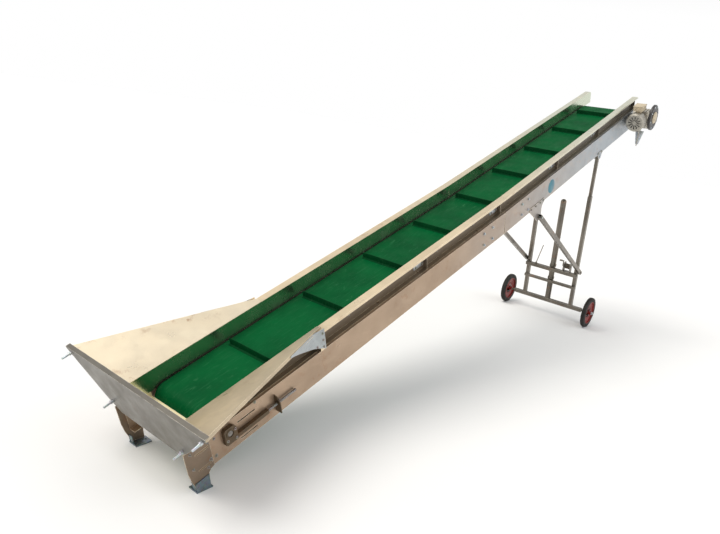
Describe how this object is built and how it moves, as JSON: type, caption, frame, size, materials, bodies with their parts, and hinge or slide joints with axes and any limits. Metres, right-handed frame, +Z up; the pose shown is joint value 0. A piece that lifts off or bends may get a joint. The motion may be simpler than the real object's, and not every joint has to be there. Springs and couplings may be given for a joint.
{
  "type": "inclined cleated belt conveyor section",
  "caption": "Inclined cleated belt conveyor in a channel-section trough, with a flared infeed hopper, side gear motor and a wheeled telescopic stand.",
  "frame": {"origin": "on the floor, midway between the four anchor holes in the two feet at the tail end", "axes": "+X along the floor from the tail (infeed) to the head (discharge), +Y to the side away from the motor, +Z up"},
  "size_m": [6.347, 1.2352, 2.6603],
  "materials": {
    "panel": "mill-finish sheet, dusty",
    "guard": "mill-finish sheet, bright",
    "front": "mill-finish sheet, dull",
    "zinc": "bright zinc plate",
    "tube": "drawn tube, dusty",
    "belt": "dusty belt face",
    "steel": "machined",
    "dark": "semi-matt",
    "motor": "cast, painted",
    "box": "satin",
    "tyre": "matt rubber",
    "rim": "satin",
    "nylon": "smooth"
  },
  "bodies": {
    "conveyor": {"end_plate_near": "panel", "end_plate_far": "panel", "foot_plates": "zinc", "tail_panel_near": "panel", "tail_panel_far": "panel", "head_panel_near": "panel", "head_panel_far": "panel", "guard_near": "guard", "guard_far": "guard", "guard_strips": "guard", "splice_plates": "panel", "splice_bolts": "zinc", "hopper_front": "front", "hopper_wing_near": "guard", "hopper_wing_far": "guard", "infeed_tray": "guard", "hopper_studs": "zinc", "slider_bed": "panel", "cross_members": "panel", "belt": "belt", "belt_cleats": "belt", "head_bearings": "dark", "takeup_brackets": "dark", "roller_axles": "steel", "gearbox": "motor", "gearbox_cover": "dark", "motor_housing": "motor", "fan_cowl": "motor", "terminal_box": "box", "torque_arm": "motor", "stand_brackets": "panel", "pivot_pins": "zinc"},
    "take_up": {"takeup_carriages": "dark", "takeup_nut_near": "zinc", "takeup_nut_far": "zinc"},
    "tail_drum": {"tail_drum": "steel"},
    "head_drum": {"head_drum": "steel"},
    "rotor": {"motor_rotor": "steel"},
    "tail_rollers": {"return_rollers_tail": "nylon"},
    "head_rollers": {"return_rollers_head": "nylon"},
    "inner_legs": {"inner_leg_near": "tube", "inner_leg_far": "tube"},
    "wheel_frame": {"outer_leg_near": "tube", "outer_leg_far": "tube", "ladder_bar_upper": "tube", "ladder_bar_lower": "tube", "axle": "tube", "mast": "tube", "mast_clamps": "tube", "winch_frame": "zinc", "lock_lever": "zinc", "axle_nuts": "zinc"},
    "braces": {"brace_near": "tube", "brace_far": "tube"},
    "winch": {"winch_drum": "steel", "winch_crank": "dark"},
    "wheel_near": {"tyre_near": "tyre", "wheel_disc_near": "rim"},
    "wheel_far": {"tyre_far": "tyre", "wheel_disc_far": "rim"}
  },
  "joints": [
    {"name": "take_up_slide", "type": "slide", "parent": "conveyor", "child": "take_up", "axis": [0.9409, 0, 0.3387], "range_m": [0, 0.015]},
    {"name": "tail_drum_spin", "type": "hinge", "parent": "take_up", "child": "tail_drum", "pos_m": [0.11994, 0, 0.30178], "axis": [0, 1, 0], "continuous": true},
    {"name": "head_drum_spin", "type": "hinge", "parent": "conveyor", "child": "head_drum", "pos_m": [5.7463, 0, 2.4077], "axis": [0, 1, 0], "continuous": true},
    {"name": "rotor_spin", "type": "hinge", "parent": "conveyor", "child": "rotor", "pos_m": [5.6676, -0.432, 2.40313], "axis": [0.9319, 0, 0.3628], "continuous": true},
    {"name": "tail_rollers_spin", "type": "hinge", "parent": "conveyor", "child": "tail_rollers", "pos_m": [1.31613, 0, 0.63345], "axis": [0, 1, 0], "continuous": true},
    {"name": "head_rollers_spin", "type": "hinge", "parent": "conveyor", "child": "head_rollers", "pos_m": [4.24422, 0, 1.72941], "axis": [0, 1, 0], "continuous": true},
    {"name": "leg_swing", "type": "hinge", "parent": "conveyor", "child": "inner_legs", "pos_m": [5.02508, 0, 1.94484], "axis": [0, 1, 0], "range_deg": [-7.77, 7.77]},
    {"name": "leg_slide", "type": "slide", "parent": "inner_legs", "child": "wheel_frame", "axis": [0.1731, 0, -0.9849], "range_m": [-0.25, 0.25]},
    {"name": "brace_swing", "type": "hinge", "parent": "conveyor", "child": "braces", "pos_m": [3.71671, 0, 1.33356], "axis": [0, 1, 0], "range_deg": [-10.59, 10.59]},
    {"name": "winch_spin", "type": "hinge", "parent": "wheel_frame", "child": "winch", "pos_m": [5.20987, -0.19, 0.66251], "axis": [0, 1, 0], "continuous": true},
    {"name": "wheel_near_spin", "type": "hinge", "parent": "wheel_frame", "child": "wheel_near", "pos_m": [5.336, -0.506, 0.176], "axis": [0, 1, 0], "continuous": true},
    {"name": "wheel_far_spin", "type": "hinge", "parent": "wheel_frame", "child": "wheel_far", "pos_m": [5.336, 0.506, 0.176], "axis": [0, 1, 0], "continuous": true}
  ],
  "couplings": [
    {"joint": "rotor_spin", "follows": "head_drum_spin", "ratio": 28},
    {"joint": "leg_swing", "follows": "leg_slide", "rad_per_m": 0.52158},
    {"joint": "brace_swing", "follows": "leg_slide", "rad_per_m": 0.71854}
  ]
}
